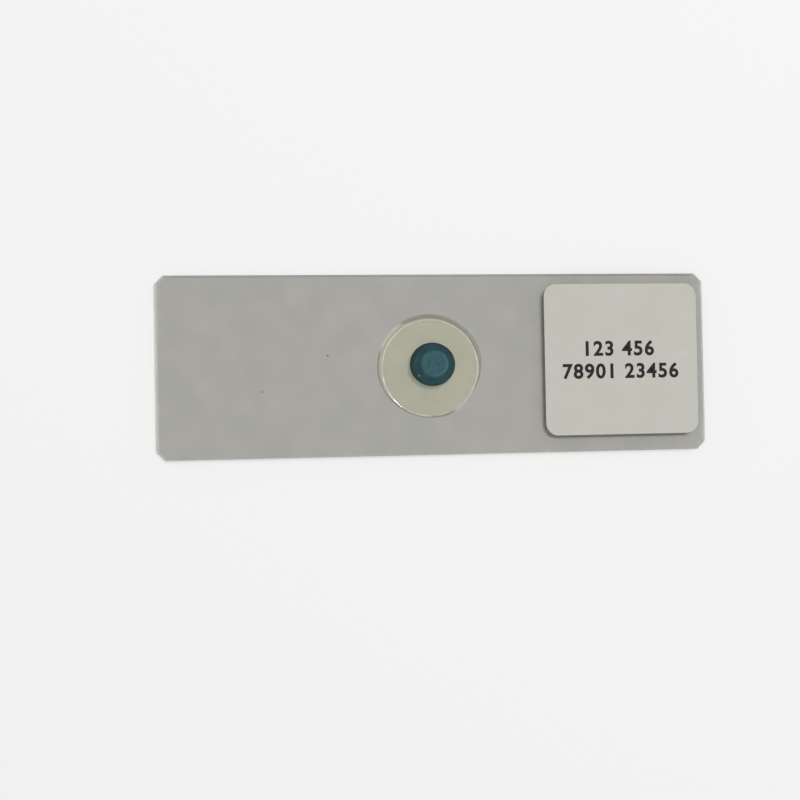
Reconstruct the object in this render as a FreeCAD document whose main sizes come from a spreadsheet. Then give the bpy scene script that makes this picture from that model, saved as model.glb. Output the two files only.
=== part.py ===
import FreeCAD, Part
import os

import Sketcher

# A prepared microscope slide: a glass plate that carries a stained stem section in set resin
# under a round cover glass, with a paper label at its right-hand end.
# Millimetres and degrees. The origin is the middle of the plate's underside, +X points along
# the plate to the label and +Z points up out of the face that carries the cover glass.

SIZES = (
    # The glass plate
    ("slide_length", 76),
    ("slide_width", 24.8),
    ("slide_thickness", 1.2),
    ("corner_cut", 1.25),
    ("end_bevel", 0.4),
    ("side_bevel", 0.22),
    # The cover glass and where its centre lies from the middle of the plate
    ("cover_diameter", 13.6),
    ("cover_thickness", 0.17),
    ("cover_arris", 0.02),
    ("cover_shift_x", -1.18),
    ("cover_shift_y", -0.3),
    # The resin: its film under the cover glass, and its bead round the rim
    ("film_thickness", 0.1),
    ("bead_width", 0.28),
    ("bead_shift_x", 0.04),
    ("bead_shift_y", 0.16),
    ("bead_hollow", 3),
    ("bead_top_width", 0.03),
    ("bead_below_cover_top", 0.03),
    # The stem section and where its centre lies from the cover glass's centre
    ("section_length", 6.3),
    ("section_width", 6),
    ("section_thickness", 0.04),
    ("section_turn", 10),
    ("section_shift_x", 0.52),
    ("section_shift_y", 0.32),
    # The label and its margins on the plate
    ("label_length", 21.82),
    ("label_width", 21.05),
    ("label_thickness", 0.1),
    ("label_corner_radius", 1.75),
    ("label_end_gap", 1.15),
    ("label_side_gap", 1.45),
)

# How many circles, from its foot to its top, shape the bead's hollow flank
BEAD_CIRCLES = 4

SMALL = 1e-6
UP = FreeCAD.Vector(0, 0, 1)

doc = FreeCAD.newDocument("prepared_slide")
sheet = doc.addObject("Spreadsheet::Sheet", "Sizes")


def fill_sheet():
    """Writes each driving dimension into a cell of its own, under its own name."""
    for row, (name, value) in enumerate(SIZES, start=1):
        sheet.set(f"A{row}", name)
        sheet.set(f"B{row}", str(value))
        sheet.setAlias(f"B{row}", name)
    doc.recompute()


def size(name):
    """The cell's number, to draw a sketch about where its constraints then put it."""
    return float(sheet.get(name))


def new_body(label, **place):
    """A body whose placement follows one formula for each axis that is given."""
    body = doc.addObject("PartDesign::Body", label)
    body.Label = label
    for axis, formula in place.items():
        body.setExpression(f".Placement.Base.{axis}", formula)
    return body


def new_sketch(body, name, height=None):
    """A sketch on the body's own ground plane, or at a height over it."""
    ground = next(f for f in body.Origin.OriginFeatures if f.Role == "XY_Plane")
    sketch = body.newObject("Sketcher::SketchObject", name)
    sketch.AttachmentSupport = [(ground, "")]
    sketch.MapMode = "FlatFace"
    if height:
        sketch.setExpression(".AttachmentOffset.Base.z", height)
    return sketch


def constrain(sketch, name, formula, *constraint):
    """Adds a constraint with a name of its own, whose value follows the formula."""
    index = sketch.addConstraint(Sketcher.Constraint(*constraint))
    sketch.renameConstraint(index, name)
    sketch.setExpression(f"Constraints.{name}", formula)


def place_centre(sketch, curve, x=None, y=None):
    """Puts a curve's centre on the sketch's origin, or at x and y from it."""
    if x is None:
        sketch.addConstraint(Sketcher.Constraint("Coincident", curve, 3, -1, 1))
        return
    constrain(sketch, "centre_x", x, "DistanceX", -1, 1, curve, 3, 1.0)
    constrain(sketch, "centre_y", y, "DistanceY", -1, 1, curve, 3, 1.0)


def draw_circle(sketch, radius, x=None, y=None):
    """A circle whose radius and centre follow formulas."""
    start = FreeCAD.Vector(0, 0, 0) if x is None else FreeCAD.Vector(1, 1, 0)
    circle = sketch.addGeometry(Part.Circle(start, UP, size("cover_diameter") / 2), False)
    place_centre(sketch, circle, x, y)
    constrain(sketch, "radius", radius, "Radius", circle, size("cover_diameter") / 2)


def draw_rectangle(sketch, length, width):
    """A rectangle centred on the sketch's origin, its sides named by their cells."""
    half_x = size(length) / 2
    half_y = size(width) / 2
    corners = [
        FreeCAD.Vector(-half_x, -half_y, 0),
        FreeCAD.Vector(half_x, -half_y, 0),
        FreeCAD.Vector(half_x, half_y, 0),
        FreeCAD.Vector(-half_x, half_y, 0),
    ]
    sides = range(len(corners))
    for side in sides:
        end = corners[(side + 1) % len(corners)]
        sketch.addGeometry(Part.LineSegment(corners[side], end), False)
    for side in sides:
        after = (side + 1) % len(corners)
        sketch.addConstraint(Sketcher.Constraint("Coincident", side, 2, after, 1))
        direction = "Vertical" if side % 2 else "Horizontal"
        sketch.addConstraint(Sketcher.Constraint(direction, side))
    sketch.addConstraint(Sketcher.Constraint("Symmetric", 0, 1, 2, 1, -1, 1))
    constrain(sketch, "length", f"Sizes.{length}", "DistanceX", 0, 1, 0, 2, size(length))
    constrain(sketch, "width", f"Sizes.{width}", "DistanceY", 1, 1, 1, 2, size(width))


def draw_section(sketch, x=None, y=None):
    """The stem section's oval outline, turned a little on the plate."""
    start = FreeCAD.Vector(0, 0, 0) if x is None else FreeCAD.Vector(1, 1, 0)
    turn = FreeCAD.Rotation(UP, size("section_turn"))
    far_end = start + turn.multVec(FreeCAD.Vector(size("section_length") / 2, 0, 0))
    near_side = start + turn.multVec(FreeCAD.Vector(0, size("section_width") / 2, 0))
    oval = sketch.addGeometry(Part.Ellipse(far_end, near_side, start), False)
    sketch.exposeInternalGeometry(oval)
    long_axis = oval + 1
    short_axis = oval + 2
    place_centre(sketch, oval, x, y)
    constrain(sketch, "length", "Sizes.section_length", "Distance", long_axis, size("section_length"))
    constrain(sketch, "width", "Sizes.section_width", "Distance", short_axis, size("section_width"))
    constrain(sketch, "turn", "Sizes.section_turn * 1 deg", "Angle", long_axis, 1.0)


def add_pad(body, sketch, thickness):
    """Raises the sketch into a plate."""
    plate = body.newObject("PartDesign::Pad", f"{sketch.Name}_pad")
    plate.Profile = sketch
    plate.setExpression("Length", thickness)
    sketch.Visibility = False
    doc.recompute()
    return plate


def cut_upward(body, sketch, depth):
    """Cuts a pocket that runs up from the sketch, and makes sure that it removed something."""
    before = body.Shape.Volume
    pocket = body.newObject("PartDesign::Pocket", f"{sketch.Name}_pocket")
    pocket.Profile = sketch
    pocket.Reversed = True
    pocket.setExpression("Length", depth)
    doc.recompute()
    if body.Shape.Volume > before - SMALL:
        raise RuntimeError(f"{pocket.Name} cut nothing")
    return pocket


def edges_where(feature, wanted):
    """The names of the feature's edges for which wanted(edge) holds."""
    return [f"Edge{i}" for i, edge in enumerate(feature.Shape.Edges, start=1) if wanted(edge)]


def upright(edge):
    """True for a straight edge along Z."""
    box = edge.BoundBox
    return box.ZLength > SMALL and box.XLength < SMALL and box.YLength < SMALL


def across_an_end(edge):
    """True for a level edge along Y."""
    box = edge.BoundBox
    return box.YLength > SMALL and box.XLength < SMALL and box.ZLength < SMALL


def along_a_side(edge):
    """True for a level edge of a long side or a clipped corner."""
    box = edge.BoundBox
    return box.XLength > SMALL and box.ZLength < SMALL


def bevel(body, base, name, edges, width):
    """Cuts the named edges of the body's latest feature back at 45 degrees."""
    feature = body.newObject("PartDesign::Chamfer", name)
    feature.Base = (base, edges)
    feature.setExpression("Size", width)
    doc.recompute()
    return feature


def round_off(body, base, name, edges, radius):
    """Rounds the named edges of the body's latest feature."""
    feature = body.newObject("PartDesign::Fillet", name)
    feature.Base = (base, edges)
    feature.setExpression("Radius", radius)
    doc.recompute()
    return feature


def make_slide():
    """The glass plate: clipped corners, and every edge of both faces ground to a bevel."""
    body = new_body("glass_slide")
    outline = new_sketch(body, "slide_outline")
    draw_rectangle(outline, "slide_length", "slide_width")
    plate = add_pad(body, outline, "Sizes.slide_thickness")
    corners = edges_where(plate, upright)
    clipped = bevel(body, plate, "clipped_corners", corners, "Sizes.corner_cut")
    ends = edges_where(clipped, across_an_end)
    ground = bevel(body, clipped, "ground_ends", ends, "Sizes.end_bevel")
    sides = edges_where(ground, along_a_side)
    bevel(body, ground, "ground_sides", sides, "Sizes.side_bevel")
    return body


def make_section():
    """The thin oval slice of stem, which lies on the plate."""
    body = new_body(
        "stem_section",
        x="Sizes.cover_shift_x + Sizes.section_shift_x",
        y="Sizes.cover_shift_y + Sizes.section_shift_y",
        z="Sizes.slide_thickness",
    )
    outline = new_sketch(body, "section_outline")
    draw_section(outline)
    add_pad(body, outline, "Sizes.section_thickness")
    return body


def make_medium():
    """The resin: lofted through circles that draw in from the bead's foot to its top, then cut out
    for the cover glass that is pressed into it and for the section that it covers."""
    body = new_body(
        "mounting_medium",
        x="Sizes.cover_shift_x",
        y="Sizes.cover_shift_y",
        z="Sizes.slide_thickness",
    )
    bead_height = "(Sizes.film_thickness + Sizes.cover_thickness - Sizes.bead_below_cover_top)"
    circles = []
    for step in range(BEAD_CIRCLES):
        rise = f"({step} / {BEAD_CIRCLES - 1})"
        spread = f"(1 - {rise}) ^ Sizes.bead_hollow"
        swell = f"(Sizes.bead_width - Sizes.bead_top_width) * {spread}"
        level = new_sketch(body, f"bead_level_{step}", f"{bead_height} * {rise}")
        draw_circle(
            level,
            f"Sizes.cover_diameter / 2 + Sizes.bead_top_width + {swell}",
            f"Sizes.bead_shift_x * {spread}",
            f"Sizes.bead_shift_y * {spread}",
        )
        circles.append(level)
    doc.recompute()
    bead = body.newObject("PartDesign::AdditiveLoft", "bead")
    bead.Profile = circles[0]
    bead.Sections = circles[1:]
    bead.Ruled = False
    doc.recompute()
    seat = new_sketch(body, "cover_seat", "Sizes.film_thickness")
    draw_circle(seat, "Sizes.cover_diameter / 2")
    cut_upward(body, seat, "Sizes.cover_thickness")
    hollow = new_sketch(body, "section_hollow")
    draw_section(hollow, "Sizes.section_shift_x", "Sizes.section_shift_y")
    cut_upward(body, hollow, "Sizes.section_thickness")
    return body


def make_cover():
    """The round cover glass, its cut edge just broken."""
    body = new_body(
        "cover_glass",
        x="Sizes.cover_shift_x",
        y="Sizes.cover_shift_y",
        z="Sizes.slide_thickness + Sizes.film_thickness",
    )
    outline = new_sketch(body, "cover_outline")
    draw_circle(outline, "Sizes.cover_diameter / 2")
    disc = add_pad(body, outline, "Sizes.cover_thickness")
    rim = edges_where(disc, lambda edge: edge.Closed and edge.BoundBox.ZMin > SMALL)
    bevel(body, disc, "cover_arris", rim, "Sizes.cover_arris")
    return body


def make_label():
    """The paper label, with rounded corners, near the plate's right-hand end."""
    body = new_body(
        "label",
        x="Sizes.slide_length / 2 - Sizes.label_end_gap - Sizes.label_length / 2",
        y="Sizes.slide_width / 2 - Sizes.label_side_gap - Sizes.label_width / 2",
        z="Sizes.slide_thickness",
    )
    outline = new_sketch(body, "label_outline")
    draw_rectangle(outline, "label_length", "label_width")
    paper = add_pad(body, outline, "Sizes.label_thickness")
    corners = edges_where(paper, upright)
    round_off(body, paper, "label_corners", corners, "Sizes.label_corner_radius")
    return body


def check(pieces):
    """Stops if a feature failed or a piece has no sound solid."""
    for item in doc.Objects:
        if {"Invalid", "Error"} & set(item.State):
            raise RuntimeError(f"{item.Name} failed: {item.State}")
    for piece in pieces:
        if piece.Shape.isNull() or not piece.Shape.isValid() or len(piece.Shape.Solids) != 1:
            raise RuntimeError(f"{piece.Label} is not one sound solid")


def write(pieces):
    """Writes each piece to a file named by its label."""
    os.makedirs("parts", exist_ok=True)
    for piece in pieces:
        piece.Shape.exportStep(f"parts/{piece.Label}.step")
        print(f"{piece.Label}: {piece.Shape.Volume:.3f} mm3")


fill_sheet()
PIECES = [make_slide(), make_section(), make_medium(), make_cover(), make_label()]
doc.recompute()
check(PIECES)
write(PIECES)
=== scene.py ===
import math

import bpy
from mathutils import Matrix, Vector, noise


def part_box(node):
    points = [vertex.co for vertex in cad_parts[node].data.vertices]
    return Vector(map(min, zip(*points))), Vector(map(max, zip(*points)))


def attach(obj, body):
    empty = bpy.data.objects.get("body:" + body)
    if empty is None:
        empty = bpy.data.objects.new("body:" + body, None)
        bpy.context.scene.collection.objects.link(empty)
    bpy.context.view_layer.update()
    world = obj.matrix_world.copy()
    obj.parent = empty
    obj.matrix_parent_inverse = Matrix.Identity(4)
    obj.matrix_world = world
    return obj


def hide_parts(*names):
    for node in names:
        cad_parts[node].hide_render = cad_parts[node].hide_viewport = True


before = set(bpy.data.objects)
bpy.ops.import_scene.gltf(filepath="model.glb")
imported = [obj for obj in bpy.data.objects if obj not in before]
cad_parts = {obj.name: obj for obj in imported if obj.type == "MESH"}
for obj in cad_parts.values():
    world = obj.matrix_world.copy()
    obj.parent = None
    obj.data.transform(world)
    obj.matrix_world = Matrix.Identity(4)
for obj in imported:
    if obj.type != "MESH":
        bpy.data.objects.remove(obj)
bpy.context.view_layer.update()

# Lengths are in millimetres, except those of the floor and the lamps, which are in metres.
MM = 0.001

# How many points make one round of a piece, and the angle in degrees from which an edge is sharp
SEGMENTS = 256
SHARP_ANGLE = 25

# The camera, and the picture's frame that its lens is worked out for
CAMERA_PLACE = (-12.33, -5.95, 96.46)
CAMERA_TURN = (0.773, -4.257, -1.055)
CAMERA_FOCAL_PIXELS = 700
PICTURE_PIXELS = 800
SENSOR = 36

# Air left between faces that touch on the real thing, so that no two of them share a place
HAIR = 0.006
FLOOR_GAP = 0.03

# The resin bead: how sharply its flank draws in, and how many rings shape it
BEAD_HOLLOW = 3
BEAD_RINGS = 14
BEAD_SHOULDER = 0.03

# Where the bead's foot has run out further: bearing, half width in degrees, and how far
BEAD_SWELLS = ((18, 30, 0.5), (62, 22, 0.12), (192, 28, 0.13), (292, 20, 0.28))

# The bead's painted shade and painted highlights round its rim, as bearing, half width in degrees and
# amount: how far out from the cover glass's rim the painted shade starts, where the bead is left pale
# with a faint painted highlight instead of painted shade, and where the painted highlight on its lip is
# stronger
PAINTED_SHADE_FROM = ((82, 22, -0.2), (192, 20, 0.08), (252, 22, -0.12), (350, 16, 0.14))
PALE_BEAD = ((142, 12, 0.95), (314, 9, 0.85))
LIP_HIGHLIGHT = ((143, 20, 1.9), (212, 14, 2.6), (272, 18, 2.2), (322, 10, 1.8), (352, 16, 1.9))

# The thin lip of resin that has crept in over the cover glass's rim. Its inner edge is a circle.
LIP_HEIGHT = 0.036
LIP_CREST = 0.03
LIP_SHIFT = (0.15, -0.18)
LIP_RADIUS = 6.5
LIP_HOLLOW = 2.6
LIP_RINGS = 10

# The label: its corners, its softened top edge, and the middle of the patch that is rubbed
LABEL_CORNER = 1.75
LABEL_ARRIS = 0.02
CORNER_STEPS = 24
RUBBED_PLACE = (34.7, 1.2)

# The stem section, measured from its own middle
SECTION_RINGS = 48
SECTION_ARRIS = 0.003
BARK_ROUGHNESS = 0.02
BARK_LUMPS = 5
BARK_FLAKES = 21
WOOD_SHIFT = (0.34, 0.08)
WOOD_RADII = (1.9, 1.86)
PITH_SHIFT = (0.84, -0.07)
GROWTH_RINGS = (((0.72, -0.03), 0.6), ((0.55, 0.1), 1.1))
PALE_DOT = (-1.91, -1.57)

# The label's print: two rows of plain digits
PRINT_ROWS = (("123 456", 25.49, 0.96), ("78901 23456", 25.78, -2.19))
PRINT_HEIGHT = 1.95
PRINT_SPACING = 1.14
PRINT_BOLDNESS = 0.05
PRINT_BLEED = 0.035
PRINT_RELIEF = 0.008

# Two specks of dust on the glass, each with its place and width
SPECKS = (((-14.95, 1.39), 0.27), ((-23.81, -3.39), 0.22))

# How strongly the plate bends light, and how strongly the resin and the cover glass mirror it
PLATE_IOR = 1.52
GLOSS_IOR = 1.5

# The strength of the light from all round, that of the backdrop as it is seen, and their colour
WORLD_LIGHT = 0.5
BACKDROP = 0.65
WORLD_COLOUR = (1.0, 0.985, 0.98, 1)

FLOOR_WIDTH = 3.0


def linear(*levels):
    """An sRGB colour, given in levels from 0 to 255, as Blender's linear colour."""
    shares = [level / 255 for level in levels]
    return tuple(s / 12.92 if s <= 0.04045 else ((s + 0.055) / 1.055) ** 2.4 for s in shares) + (1.0,)


class Nodes:
    """The node tree of one new material."""

    def __init__(self, name):
        self.material = bpy.data.materials.new(name)
        self.material.use_nodes = True
        self.tree = self.material.node_tree
        self.tree.nodes.clear()
        self.output = self.add("ShaderNodeOutputMaterial")

    def add(self, kind, **settings):
        node = self.tree.nodes.new(kind)
        for name, value in settings.items():
            setattr(node, name, value)
        return node

    def put(self, value, socket):
        """Wires an output to the socket, or writes a plain value in it."""
        if isinstance(value, bpy.types.NodeSocket):
            self.tree.links.new(value, socket)
        else:
            socket.default_value = value

    def math(self, operation, *values):
        node = self.add("ShaderNodeMath", operation=operation)
        for value, socket in zip(values, node.inputs):
            self.put(value, socket)
        return node.outputs[0]

    def vector(self, operation, *values):
        node = self.add("ShaderNodeVectorMath", operation=operation)
        for value, socket in zip(values, node.inputs):
            self.put(value, socket)
        return node.outputs["Value" if operation in ("LENGTH", "DOT_PRODUCT") else "Vector"]

    def times(self, vector, factor):
        node = self.add("ShaderNodeVectorMath", operation="SCALE")
        self.put(vector, node.inputs[0])
        self.put(factor, node.inputs["Scale"])
        return node.outputs["Vector"]

    def place(self, middle):
        """Where a point of the piece lies from middle, in millimetres."""
        found = self.add("ShaderNodeTexCoord").outputs["Object"]
        return self.vector("SUBTRACT", self.times(found, 1 / MM), tuple(middle))

    def parts(self, vector):
        node = self.add("ShaderNodeSeparateXYZ")
        self.put(vector, node.inputs[0])
        return node.outputs

    def flat(self, vector):
        """The vector with no height."""
        return self.vector("MULTIPLY", vector, (1, 1, 0))

    def away(self, vector, middle):
        """The level distance from the vector's point to middle."""
        return self.vector("LENGTH", self.flat(self.vector("SUBTRACT", vector, (*middle, 0))))

    def noise(self, vector, scale, detail=3, share="Fac"):
        node = self.add("ShaderNodeTexNoise")
        self.put(vector, node.inputs["Vector"])
        node.inputs["Scale"].default_value = scale
        node.inputs["Detail"].default_value = detail
        return node.outputs[share]

    def cells(self, vector, scale):
        node = self.add("ShaderNodeTexVoronoi")
        self.put(vector, node.inputs["Vector"])
        node.inputs["Scale"].default_value = scale
        return node.outputs["Distance"]

    def rise(self, value, low, high, bottom=0.0, top=1.0):
        """Goes smoothly from bottom to top as value goes from low to high."""
        node = self.add("ShaderNodeMapRange", interpolation_type="SMOOTHSTEP")
        names = ("Value", "From Min", "From Max", "To Min", "To Max")
        for name, given in zip(names, (value, low, high, bottom, top)):
            self.put(given, node.inputs[name])
        return node.outputs[0]

    def band(self, value, middle, half, soft):
        """1 within half of middle, and 0 past soft more."""
        away = self.math("ABSOLUTE", self.math("SUBTRACT", value, middle))
        return self.rise(away, half, half + soft, 1.0, 0.0)

    def facing(self, towards, bearing, half, elsewhere, there):
        """The value there where the level vector points within half degrees of the bearing, and
        elsewhere past twice that."""
        angle = math.radians(bearing)
        cosine = self.vector("DOT_PRODUCT", towards, (math.cos(angle), math.sin(angle), 0))
        low, high = math.cos(math.radians(2 * half)), math.cos(math.radians(half))
        return self.rise(cosine, low, high, elsewhere, there)

    def mix(self, share, first, second):
        node = self.add("ShaderNodeMix", data_type="RGBA")
        for name, value in ((0, share), (6, first), (7, second)):
            self.put(value, node.inputs[name])
        return node.outputs[2]

    def mix_shaders(self, share, first, second):
        node = self.add("ShaderNodeMixShader")
        for socket, value in zip(node.inputs, (share, first, second)):
            self.put(value, socket)
        return node.outputs[0]

    def bump(self, height, strength, distance):
        node = self.add("ShaderNodeBump")
        self.put(height, node.inputs["Height"])
        node.inputs["Strength"].default_value = strength
        node.inputs["Distance"].default_value = distance * MM
        return node.outputs[0]

    def principled(self, **sockets):
        """A Principled shader; a socket's name is given with _ for each space."""
        node = self.add("ShaderNodeBsdfPrincipled")
        for name, value in sockets.items():
            self.put(value, node.inputs[name.replace("_", " ")])
        return node.outputs[0]

    def clear(self, colour):
        node = self.add("ShaderNodeBsdfTransparent")
        self.put(colour, node.inputs["Color"])
        return node.outputs[0]

    def finish(self, shader):
        self.put(shader, self.output.inputs["Surface"])
        return self.material

    def lets_lamps_through(self, shader, colour):
        """The shader as it is, but clear to the rays that carry light to what lies behind."""
        path = self.add("ShaderNodeLightPath").outputs
        carries = self.math("MAXIMUM", path["Is Shadow Ray"], path["Is Diffuse Ray"])
        return self.mix_shaders(carries, shader, self.clear(colour))

    def level(self):
        """How level the surface lies, from 0 for a wall to 1."""
        return self.math("ABSOLUTE", self.parts(self.add("ShaderNodeNewGeometry").outputs["Normal"])[2])

    def shine(self, shader, roughness, where=1.0):
        """The shader with a gloss over the outside of its piece, and none inside it."""
        fresnel = self.add("ShaderNodeFresnel")
        fresnel.inputs["IOR"].default_value = GLOSS_IOR
        inside = self.add("ShaderNodeNewGeometry").outputs["Backfacing"]
        share = self.math("MULTIPLY", fresnel.outputs[0], self.math("SUBTRACT", where, inside))
        share = self.math("MAXIMUM", share, 0.0)
        gloss = self.principled(Base_Color=(1, 1, 1, 1), Metallic=1.0, Roughness=roughness)
        return self.mix_shaders(share, shader, gloss)


def plate_glass(top):
    """Polished faces with faint smears and a grey tint that is painted shade, ground edges, of which
    the far long one is the darkest by painted shade, and dust on the face at the height top."""
    n = Nodes("plate_glass")
    normal = n.add("ShaderNodeNewGeometry").outputs["True Normal"]
    along, _, up = n.parts(normal)
    ground = n.rise(n.math("ABSOLUTE", up), 0.9, 0.99, 1.0, 0.0)
    end = n.rise(n.math("ABSOLUTE", along), 0.3, 0.6)
    here = n.place((0, 0, 0))
    grain = n.noise(here, 6.0)
    rough = n.math("MULTIPLY", ground, n.rise(grain, 0.3, 0.7, 0.45, 0.6))
    # Painted shade: the far long edge is tinted darker than the near one.
    near_half = n.math("LESS_THAN", n.parts(here)[1], 0.0)
    edge = n.mix(near_half, (0.53, 0.54, 0.52, 1), (0.73, 0.74, 0.71, 1))
    edge = n.mix(end, edge, (0.86, 0.88, 0.85, 1))
    # The faces' grey tint is painted shade: it darkens what is seen through the plate far more than clear
    # glass does, and the smears vary it a little.
    smears = n.rise(n.noise(here, 0.22, 5), 0.35, 0.65)
    face = n.mix(smears, (0.556, 0.554, 0.518, 1), (0.59, 0.583, 0.54, 1))
    tint = n.mix(ground, face, edge)
    glass = n.principled(Base_Color=tint, Roughness=rough, IOR=PLATE_IOR, Transmission_Weight=1.0)
    frost = n.principled(Base_Color=linear(228, 230, 226), Roughness=0.7)
    glass = n.mix_shaders(n.math("MULTIPLY", end, 0.3), glass, frost)
    dust = n.principled(Base_Color=linear(88, 86, 80), Roughness=0.8)
    uneven = n.rise(n.noise(here, 9.0), 0.3, 0.7, -0.04, 0.04)
    near = 0.0
    for place, width in SPECKS:
        ragged = n.math("ADD", n.away(here, place), uneven)
        near = n.math("MAXIMUM", near, n.rise(ragged, width * 0.3, width * 0.6, 0.9, 0.0))
    on_top = n.math("GREATER_THAN", n.parts(here)[2], top - 0.1)
    glass = n.mix_shaders(n.math("MULTIPLY", near, on_top), glass, dust)
    return n.finish(n.lets_lamps_through(glass, (0.85, 0.85, 0.846, 1)))


def cover_glass():
    """A clear, thin pane that shines, with its rim wall tinted darker as painted shade."""
    n = Nodes("cover_glass")
    # Painted shade: the steep rim wall is tinted darker, for the dark line along the cover glass's edge.
    rim = n.rise(n.level(), 0.3, 0.8, 1.0, 0.0)
    pane = n.clear(n.mix(rim, (0.995, 0.997, 0.993, 1), (0.85, 0.85, 0.8, 1)))
    return n.finish(n.shine(pane, 0.02))


class Resin(Nodes):
    """The material of the resin, with the measures that place its looks: out is the distance from
    the cover glass's axis, up is the height and towards is the level direction from that axis."""

    def __init__(self, centre, radius, bottom, under_cover, cover_top):
        super().__init__("set_resin")
        self.radius, self.bottom, self.cover_top = radius, bottom, cover_top
        self.here = self.place(centre)
        self.out = self.vector("LENGTH", self.flat(self.here))
        self.up = self.math("ADD", self.parts(self.here)[2], centre.z)
        self.towards = self.vector("NORMALIZE", self.flat(self.here))
        above_film = self.math("GREATER_THAN", self.up, under_cover + 0.01)
        past_rim = self.math("GREATER_THAN", self.out, radius + 2 * HAIR)
        self.outside = self.math("MAXIMUM", above_film, past_rim)

    def film(self):
        """1 on the underside of the film, within the cover glass's rim."""
        low = self.math("LESS_THAN", self.up, self.bottom + 0.03)
        within = self.rise(self.out, self.radius - 0.05, self.radius + 0.05, 1.0, 0.0)
        return self.math("MULTIPLY", low, within)

    def flank(self):
        """Where the bead's painted shade lies: 1 on the bead and its lip, from where each bearing starts
        to look dark.
        """
        start = self.radius
        for bearing, half, further in PAINTED_SHADE_FROM:
            start = self.math("ADD", start, self.facing(self.towards, bearing, half, 0.0, further))
        flank = self.rise(self.math("SUBTRACT", self.out, start), -0.06, 0.03)
        foot = self.bottom + HAIR
        on_lip = self.math("GREATER_THAN", self.up, self.cover_top + 0.75 * HAIR)
        off_cover = self.math("MAXIMUM", on_lip, self.math("GREATER_THAN", self.out, self.radius))
        for share in (self.rise(self.up, foot, foot + 0.02), off_cover, self.outside):
            flank = self.math("MULTIPLY", flank, share)
        return flank

    def pale(self):
        """How much the painted shade is lifted, with a faint painted highlight laid in its place, where
        the bead doesn't look dark.
        """
        pale = 0.0
        for bearing, half, strength in PALE_BEAD:
            pale = self.math("MAXIMUM", pale, self.facing(self.towards, bearing, half, 0.0, strength))
        return pale

    def lip_highlight(self):
        """How strong the painted highlight is along the inner edge of the lip: a whitish line."""
        whitish_share = self.band(self.away(self.here, LIP_SHIFT), LIP_RADIUS + 0.07, 0.03, 0.1)
        whitish_share = self.math("MULTIPLY", whitish_share, self.math("GREATER_THAN", self.up, self.cover_top))
        uneven = self.rise(self.noise(self.here, 0.8, 2), 0.35, 0.65, 0.08, 0.2)
        whitish_share = self.math("MULTIPLY", whitish_share, uneven)
        for bearing, half, gain in LIP_HIGHLIGHT:
            whitish_share = self.math("MULTIPLY", whitish_share, self.facing(self.towards, bearing, half, 1.0, gain))
        return whitish_share


def set_resin(centre, radius, bottom, under_cover, cover_top):
    """Yellowish resin: clear under the cover glass, with painted shade on its bead, a painted highlight
    along the edge of its lip, and a faint haze in the film."""
    n = Resin(centre, radius, bottom, under_cover, cover_top)
    film, flank, pale = n.film(), n.flank(), n.pale()
    # Painted shade: the bead is tinted darker olive where the flank mask falls, except where it is left
    # pale.
    dark = n.math("MULTIPLY", flank, n.math("SUBTRACT", 1.0, pale))
    tint = n.mix(film, (1, 1, 1, 1), (1.0, 0.99, 0.845, 1))
    tint = n.mix(dark, tint, (0.66, 0.66, 0.6, 1))
    # Painted highlights: a whitish share on the pale parts of the bead and along the lip's inner edge; in
    # the film the cloud is a real faint haze.
    flank_highlight = n.math("MULTIPLY", n.math("MULTIPLY", flank, pale), 0.25)
    cloud = n.rise(n.noise(n.here, 0.35, 4), 0.3, 0.7, 0.05, 0.1)
    whitish_share = n.math("MAXIMUM", n.lip_highlight(), flank_highlight)
    whitish_share = n.math("MAXIMUM", whitish_share, n.math("MULTIPLY", film, cloud))
    haze_and_highlight = n.principled(Base_Color=linear(224, 223, 210), Roughness=0.4)
    body = n.mix_shaders(whitish_share, n.clear(tint), haze_and_highlight)
    gloss = n.rise(n.out, radius, radius + 0.04, 0.07, 0.45)
    return n.finish(n.shine(body, gloss, n.outside))


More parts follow.
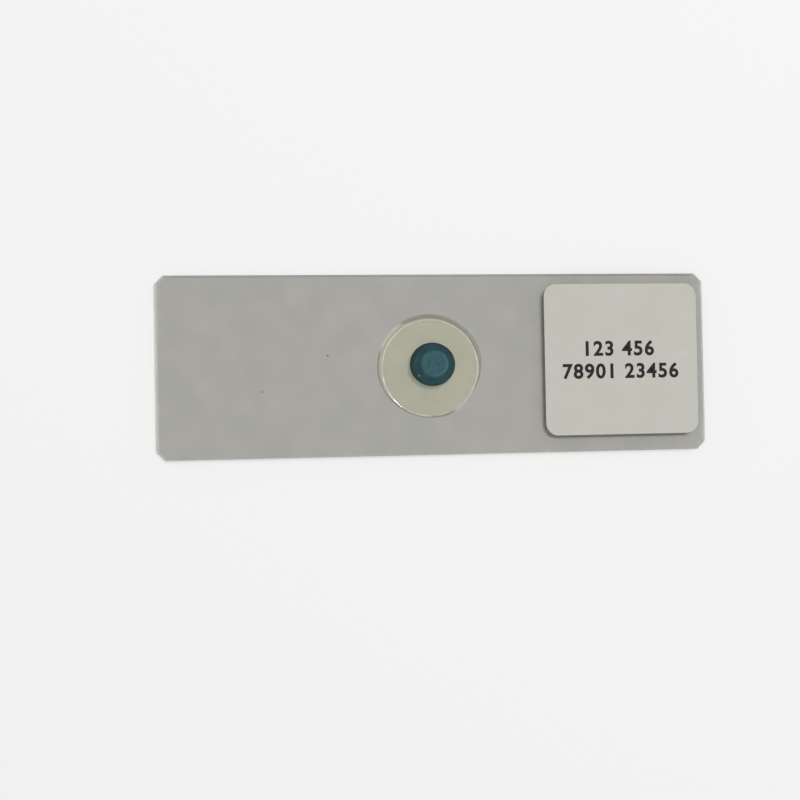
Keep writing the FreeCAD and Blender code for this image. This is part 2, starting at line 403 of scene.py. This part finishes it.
class Tissue(Nodes):
    """The material of the stem section, with the measures that place its layers: out is 1 on the
    section's outline, and wood_out is 1 on the wood's."""

    def __init__(self, centre, radii):
        super().__init__("stained_stem")
        straight = self.flat(self.place(centre))
        wander = self.vector("SUBTRACT", self.noise(straight, 0.9, 2, "Color"), (0.5, 0.5, 0.5))
        self.here = self.vector("ADD", straight, self.flat(self.times(wander, 0.3)))
        self.out = self.vector("LENGTH", self.vector("DIVIDE", self.here, (*radii, 1)))
        from_wood = self.vector("SUBTRACT", self.here, (*WOOD_SHIFT, 0))
        self.wood_out = self.vector("LENGTH", self.vector("DIVIDE", from_wood, (*WOOD_RADII, 1)))
        self.x, self.y, _ = self.parts(from_wood)
        self.patches = self.noise(self.here, 0.75, 3)
        self.walls = self.cells(self.here, 5.0)
        self.streaks = self.noise(self.times(self.vector("NORMALIZE", from_wood), 9.0), 1.0, 2)

    def bast(self):
        """Dark wedges between paler rays that widen outwards, bluer next to the wood."""
        bast = self.mix(self.rise(self.patches, 0.4, 0.6), linear(6, 58, 70), linear(10, 74, 68))
        near_wood = self.band(self.wood_out, 1.12, 0.05, 0.2)
        near_wood = self.math("MULTIPLY", near_wood, self.rise(self.streaks, 0.42, 0.58, 0.1, 0.7))
        bast = self.mix(near_wood, bast, linear(8, 58, 82))
        downhill = self.slope(0.6, -0.7)
        bast = self.mix(self.rise(downhill, 1.2, 2.4, 0.0, 0.6), bast, linear(12, 72, 52))
        flare = self.rise(self.wood_out, 1.0, 1.6, 0.3, 0.8)
        ray = self.math("MULTIPLY", self.rise(self.streaks, 0.5, 0.6), flare)
        bast = self.mix(ray, bast, linear(40, 88, 94))
        layers = self.math("SINE", self.math("MULTIPLY", self.wood_out, 22.0))
        bast = self.mix(self.rise(layers, 0.1, 1.0, 0.0, 0.45), bast, linear(4, 40, 44))
        bast = self.mix(self.rise(self.walls, 0.1, 0.6, 0.5, 0.0), bast, linear(4, 34, 38))
        outermost = self.rise(self.out, 0.8, 0.9, 0.0, 0.5)
        pale_side = self.math("MULTIPLY", self.rise(self.x, -2.6, -3.0), outermost)
        return self.mix(pale_side, bast, linear(58, 70, 76))

    def bark(self, bast):
        """The bast with an uneven dark rim of bark, which is widest on the left."""
        leftward = self.rise(self.x, -0.5, -2.8, 0.0, 0.075)
        uneven = self.math("ADD", self.out, self.math("MULTIPLY", self.patches, 0.4))
        rim = self.rise(self.math("ADD", uneven, leftward), 1.07, 1.17, 0.0, 0.9)
        return self.mix(rim, bast, linear(20, 36, 30))

    def wood(self):
        """Green-blue on one side and grey-blue on the other, with rays, vessels and growth rings
        round a dark pith."""
        aslant = self.slope(0.8, -0.55)
        wood = self.mix(self.rise(aslant, -0.9, 0.8), linear(45, 93, 92), linear(54, 84, 98))
        wood = self.mix(self.rise(self.y, -0.3, -1.3, 0.0, 0.6), wood, linear(42, 76, 100))
        wood = self.mix(self.rise(self.patches, 0.42, 0.6, 0.0, 0.5), wood, linear(60, 106, 110))
        leafy = self.noise(self.vector("ADD", self.here, (11, 4, 0)), 1.1, 3)
        wood = self.mix(self.rise(leafy, 0.5, 0.64, 0.0, 0.6), wood, linear(34, 88, 82))
        from_pith = self.vector("SUBTRACT", self.here, (*PITH_SHIFT, 0))
        rays = self.noise(self.times(self.vector("NORMALIZE", from_pith), 15.0), 1.0, 2)
        wood = self.mix(self.rise(rays, 0.45, 0.62, 0.0, 0.4), wood, linear(74, 118, 124))
        vessels = self.cells(self.vector("ADD", self.here, (3, 7, 0)), 7.0)
        wood = self.mix(self.rise(vessels, 0.12, 0.5, 0.55, 0.0), wood, linear(16, 54, 64))
        broken = self.rise(self.noise(self.here, 1.6, 2), 0.4, 0.65, 0.0, 0.65)
        for middle, reach in GROWTH_RINGS:
            late = self.band(self.away(self.here, middle), reach, 0.0, 0.22)
            wood = self.mix(self.math("MULTIPLY", late, broken), wood, linear(24, 60, 76))
        lit_side = self.rise(aslant, -0.4, 1.3, 0.0, 0.4)
        border = self.math("MULTIPLY", self.band(self.wood_out, 0.9, 0.03, 0.09), lit_side)
        wood = self.mix(border, wood, linear(80, 126, 138))
        pith = self.rise(self.vector("LENGTH", from_pith), 0.08, 0.34, 0.7, 0.0)
        return self.mix(pith, wood, linear(20, 52, 70))

    def slope(self, along, across):
        """A level that rises along x and y at those rates, and is 0 in the middle of the wood."""
        eastward, northward = self.math("MULTIPLY", self.x, along), self.math("MULTIPLY", self.y, across)
        return self.math("ADD", eastward, northward)


def stained_stem(centre, radii):
    """The cut face of a stained stem: bark rim, bast with flaring rays, wood with growth rings, pith."""
    n = Tissue(centre, radii)
    fringe = n.math("ADD", n.wood_out, n.rise(n.streaks, 0.35, 0.65, -0.03, 0.04))
    colour = n.mix(n.rise(fringe, 0.9, 1.06, 1.0, 0.0), n.bark(n.bast()), n.wood())
    dot = n.away(n.here, PALE_DOT)
    colour = n.mix(n.rise(dot, 0.06, 0.14, 0.8, 0.0), colour, linear(140, 184, 186))
    under_glass = n.vector("MULTIPLY", colour, (0.58, 0.73, 0.76))
    relief = n.bump(n.math("ADD", n.walls, n.streaks), 0.25, 0.01)
    tissue = n.principled(Base_Color=under_glass, Roughness=0.6, Specular_IOR_Level=0.0, Normal=relief)
    return n.finish(n.lets_lamps_through(tissue, (0.45, 0.58, 0.56, 1)))


def label_paper():
    """Matt white paper with a fine tooth, and a faint rubbed patch near its right edge."""
    n = Nodes("label_paper")
    here = n.place((0, 0, 0))
    fibres = n.noise(n.vector("MULTIPLY", here, (1, 2.2, 1)), 5.0, 5)
    clouds = n.noise(here, 0.25, 2)
    paper = n.mix(clouds, linear(182, 182, 174), linear(189, 190, 182))
    paper = n.mix(n.rise(fibres, 0.35, 0.7, 0.0, 0.2), paper, linear(161, 161, 152))
    from_rub = n.vector("SUBTRACT", here, (*RUBBED_PLACE, 0))
    from_rub = n.vector("LENGTH", n.vector("MULTIPLY", from_rub, (1, 1.6, 0)))
    rubbed = n.rise(from_rub, 0.2, 1.1, 0.3, 0.0)
    paper = n.mix(rubbed, paper, linear(198, 190, 181))
    tooth = n.bump(fibres, 0.3, 0.01)
    return n.finish(n.principled(Base_Color=paper, Roughness=0.72, Specular_IOR_Level=0.3, Normal=tooth))


def print_ink():
    """Near-black toner with a slight unevenness."""
    n = Nodes("print_ink")
    speckle = n.noise(n.place((0, 0, 0)), 7.0, 4)
    ink = n.mix(n.rise(speckle, 0.35, 0.7), linear(24, 22, 22), linear(42, 40, 40))
    return n.finish(n.principled(Base_Color=ink, Roughness=0.6, Specular_IOR_Level=0.2))


def floor_finish():
    """A pale, matt floor."""
    n = Nodes("floor_finish")
    return n.finish(n.principled(Base_Color=linear(234, 234, 234), Roughness=0.85, Specular_IOR_Level=0.1))


def link(name, mesh, material):
    """A new object with that mesh and that one material."""
    piece = bpy.data.objects.new(name, mesh)
    bpy.context.scene.collection.objects.link(piece)
    mesh.materials.clear()
    mesh.materials.append(material)
    return piece


def cast_no_shadow(piece):
    """Light passes straight through a thin clear piece to what lies under it."""
    piece.visible_shadow = False
    piece.visible_diffuse = False


def swell(bearing):
    """How far the bead's foot has run out at that bearing."""
    total = 0.0
    for middle, half, reach in BEAD_SWELLS:
        away = math.remainder(bearing - math.radians(middle), 2 * math.pi) / math.radians(half)
        total += reach * math.exp(-(away**2))
    return total


def ring(centre, radius, height, swollen=0.0):
    """One round of points, from +X anticlockwise, with that share of the bead's swells."""
    points = []
    for step in range(SEGMENTS):
        bearing = 2 * math.pi * step / SEGMENTS
        reach = radius + swollen * swell(bearing)
        across, along = reach * math.cos(bearing), reach * math.sin(bearing)
        points.append((centre[0] + across, centre[1] + along, height))
    return points


def skin(name, rings, low, high):
    """A closed mesh through rings of points, which run from the one round the point low, under the
    piece, to the one round the point high, on top of it."""
    count = len(rings[0])
    points = [p for one in rings for p in one]
    points += [low, high]
    under, over = len(points) - 2, len(points) - 1
    last = (len(rings) - 1) * count
    faces = []
    for step in range(count):
        after = (step + 1) % count
        faces.append((under, after, step))
        faces.append((over, last + step, last + after))
        for level in range(len(rings) - 1):
            near, far = level * count, (level + 1) * count
            faces.append((near + step, near + after, far + after, far + step))
    mesh = bpy.data.meshes.new(name)
    mesh.from_pydata([Vector(p) * MM for p in points], [], faces)
    mesh.shade_smooth()
    mesh.set_sharp_from_angle(angle=math.radians(SHARP_ANGLE))
    return mesh


def make_cover():
    """The cover glass: a disc with square edges, a little under the crest of the resin's lip."""
    low, high = (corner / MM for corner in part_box("cover_glass"))
    centre = (low + high) / 2
    radius = (high.x - low.x) / 2
    bottom, top = low.z + HAIR, high.z - LIP_HEIGHT
    rings = [ring(centre, radius, bottom), ring(centre, radius, top)]
    mesh = skin("cover", rings, (centre.x, centre.y, bottom), (centre.x, centre.y, top))
    cover = link("cover", mesh, cover_glass())
    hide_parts("cover_glass")
    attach(cover, "root")
    cast_no_shadow(cover)
    return centre, radius


def make_resin(centre, radius):
    """The resin: the film under the cover glass, the bead round it, and the lip over its rim."""
    low, high = (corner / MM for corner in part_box("mounting_medium"))
    foot_centre = (low + high) / 2
    foot_radius = (high.x - low.x) / 2
    under_cover, crest = (corner.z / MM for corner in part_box("cover_glass"))
    cover_top = crest - LIP_HEIGHT
    bottom = low.z + HAIR
    top_radius = radius + BEAD_SHOULDER
    rings = []
    for step in range(BEAD_RINGS + 1):
        rise = step / BEAD_RINGS
        spread = (1 - rise) ** BEAD_HOLLOW
        middle = centre + (foot_centre - centre) * spread
        bead_radius = top_radius + (foot_radius - top_radius) * spread
        rings.append(ring(middle, bead_radius, bottom + (high.z - bottom) * rise, spread**2))
    lip_centre = centre + Vector((*LIP_SHIFT, 0))
    lip_start = radius - LIP_CREST
    lip_foot = cover_top + HAIR
    for step in range(LIP_RINGS + 1):
        inward = step / LIP_RINGS
        middle = centre + (lip_centre - centre) * inward
        lip_radius = lip_start + (LIP_RADIUS - lip_start) * inward
        height = crest - (crest - lip_foot) * inward**LIP_HOLLOW
        rings.append(ring(middle, lip_radius, height))
    rings.append(ring(lip_centre, LIP_RADIUS, cover_top + HAIR / 2))
    rings.append(ring(centre, radius + HAIR, cover_top + HAIR / 2))
    rings.append(ring(centre, radius + HAIR, under_cover))
    mesh = skin("resin", rings, (centre.x, centre.y, bottom), (centre.x, centre.y, under_cover))
    resin = link("resin", mesh, set_resin(centre, radius, low.z, under_cover, cover_top))
    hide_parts("mounting_medium")
    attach(resin, "root")
    cast_no_shadow(resin)


def make_section():
    """The slice of stem: an oval with a slightly ragged bark, barely thicker than paper."""
    low, high = (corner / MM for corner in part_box("stem_section"))
    centre = (low + high) / 2
    radii = ((high.x - low.x) / 2, (high.y - low.y) / 2)
    bottom, top = low.z + 2 * HAIR, high.z

    def outline(share, height):
        points = []
        for step in range(SEGMENTS):
            bearing = 2 * math.pi * step / SEGMENTS
            out = Vector((math.cos(bearing), math.sin(bearing), 0))
            ragged = noise.noise(out * BARK_LUMPS) + 0.5 * noise.noise(out * BARK_FLAKES)
            reach = (1 - BARK_ROUGHNESS / 3 + BARK_ROUGHNESS * ragged / 3) * share
            across, along = out.x * radii[0] * reach, out.y * radii[1] * reach
            points.append((centre.x + across, centre.y + along, height))
        return points

    rings = [outline(1.0, bottom), outline(1.0, top - SECTION_ARRIS)]
    for step in range(1, SECTION_RINGS):
        rings.append(outline(1 - step / SECTION_RINGS, top))
    mesh = skin("stem_slice", rings, (centre.x, centre.y, bottom), (centre.x, centre.y, top))
    section = link("stem_slice", mesh, stained_stem(centre, radii))
    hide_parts("stem_section")
    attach(section, "root")


def make_label():
    """The label: a square of paper with round corners and a softened top edge."""
    low, high = (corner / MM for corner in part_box("label"))
    middle = (low + high) / 2
    across = high.x - middle.x - LABEL_CORNER
    along = high.y - middle.y - LABEL_CORNER

    def outline(inset, height):
        points = []
        corner = LABEL_CORNER - inset
        for quarter, (side, over) in enumerate(((1, 1), (-1, 1), (-1, -1), (1, -1))):
            for step in range(CORNER_STEPS + 1):
                bearing = math.pi / 2 * (quarter + step / CORNER_STEPS)
                points.append((
                    middle.x + side * across + corner * math.cos(bearing),
                    middle.y + over * along + corner * math.sin(bearing),
                    height,
                ))
        return points

    bottom = low.z + HAIR
    rings = [outline(0, bottom), outline(0, high.z - LABEL_ARRIS), outline(LABEL_ARRIS, high.z)]
    mesh = skin("paper", rings, (middle.x, middle.y, bottom), (middle.x, middle.y, high.z))
    paper = link("paper", mesh, label_paper())
    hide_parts("label")
    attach(paper, "root")


def make_print():
    """Two rows of digits that stand a hair's breadth over the paper."""
    paper_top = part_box("label")[1].z / MM
    ink = print_ink()
    for row, (digits, middle, baseline) in enumerate(PRINT_ROWS):
        curve = bpy.data.curves.new(f"print_row_{row}", "FONT")
        curve.body = digits
        curve.align_x = "CENTER"
        curve.space_character = PRINT_SPACING
        text = bpy.data.objects.new(curve.name, curve)
        bpy.context.scene.collection.objects.link(text)
        bpy.context.view_layer.update()
        curve.size = PRINT_HEIGHT / text.dimensions.y * MM
        curve.offset = PRINT_BOLDNESS * MM
        curve.bevel_depth = PRINT_BLEED * MM
        curve.bevel_resolution = 0
        text.scale.z = PRINT_RELIEF / (2 * PRINT_BLEED)
        curve.materials.append(ink)
        text.location = Vector((middle, baseline, paper_top + PRINT_RELIEF / 2)) * MM
        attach(text, "root")


def dress_plate():
    """Gives the glass plate its finish."""
    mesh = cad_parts["glass_slide"].data
    mesh.materials.clear()
    mesh.materials.append(plate_glass(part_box("glass_slide")[1].z / MM))


def make_floor():
    """A wide floor, a little under the plate."""
    bpy.ops.mesh.primitive_plane_add(size=FLOOR_WIDTH, location=(0, 0, -FLOOR_GAP * MM))
    floor = bpy.context.object
    floor.name = "floor"
    floor.data.materials.append(floor_finish())


def add_lamp(name, direction, distance, width, power, mirrored):
    """A soft round lamp that lights the middle of the plate from that direction, its distance and
    width in metres. One that isn't mirrored leaves no image of itself on the glass."""
    data = bpy.data.lights.new(name, "AREA")
    data.shape = "DISK"
    data.size = width
    data.energy = power
    lamp = bpy.data.objects.new(name, data)
    place = Vector(direction).normalized() * distance
    lamp.location = place
    lamp.rotation_euler = place.to_track_quat("Z", "Y").to_euler()
    lamp.visible_glossy = mirrored
    lamp.visible_transmission = False
    bpy.context.scene.collection.objects.link(lamp)


def make_world():
    """Even light from all round, and a pale backdrop for the camera, which gloss and glass show too."""
    world = bpy.data.worlds.new("studio")
    world.use_nodes = True
    tree = world.node_tree
    path = tree.nodes.new("ShaderNodeLightPath").outputs
    seen = path["Is Camera Ray"]
    for kind in ("Is Glossy Ray", "Is Transmission Ray"):
        either = tree.nodes.new("ShaderNodeMath")
        either.operation = "MAXIMUM"
        tree.links.new(seen, either.inputs[0])
        tree.links.new(path[kind], either.inputs[1])
        seen = either.outputs[0]
    strength = tree.nodes.new("ShaderNodeMapRange")
    tree.links.new(seen, strength.inputs["Value"])
    strength.inputs["To Min"].default_value = WORLD_LIGHT
    strength.inputs["To Max"].default_value = BACKDROP
    back = tree.nodes["Background"]
    back.inputs["Color"].default_value = WORLD_COLOUR
    tree.links.new(strength.outputs[0], back.inputs["Strength"])
    bpy.context.scene.world = world


def make_lamps():
    """A broad lamp for the shadows, and a small one that glints on the resin's lip."""
    add_lamp("key", (0.13, 0.33, 1.0), distance=2.0, width=0.46, power=17.75, mirrored=False)
    add_lamp("glint", (0.324, 0.262, 1.0), distance=1.5, width=0.096, power=4.5, mirrored=True)


def make_camera():
    """The camera, where the photo's stood over the slide."""
    data = bpy.data.cameras.new("camera")
    data.sensor_width = SENSOR
    data.lens = CAMERA_FOCAL_PIXELS / PICTURE_PIXELS * SENSOR
    data.clip_start = MM
    camera = bpy.data.objects.new("camera", data)
    camera.location = Vector(CAMERA_PLACE) * MM
    camera.rotation_euler = [math.radians(angle) for angle in CAMERA_TURN]
    bpy.context.scene.collection.objects.link(camera)
    bpy.context.scene.camera = camera


dress_plate()
cover_centre, cover_radius = make_cover()
make_resin(cover_centre, cover_radius)
make_section()
make_label()
make_print()
make_floor()
make_world()
make_lamps()
make_camera()
bpy.context.scene.view_settings.view_transform = "Standard"
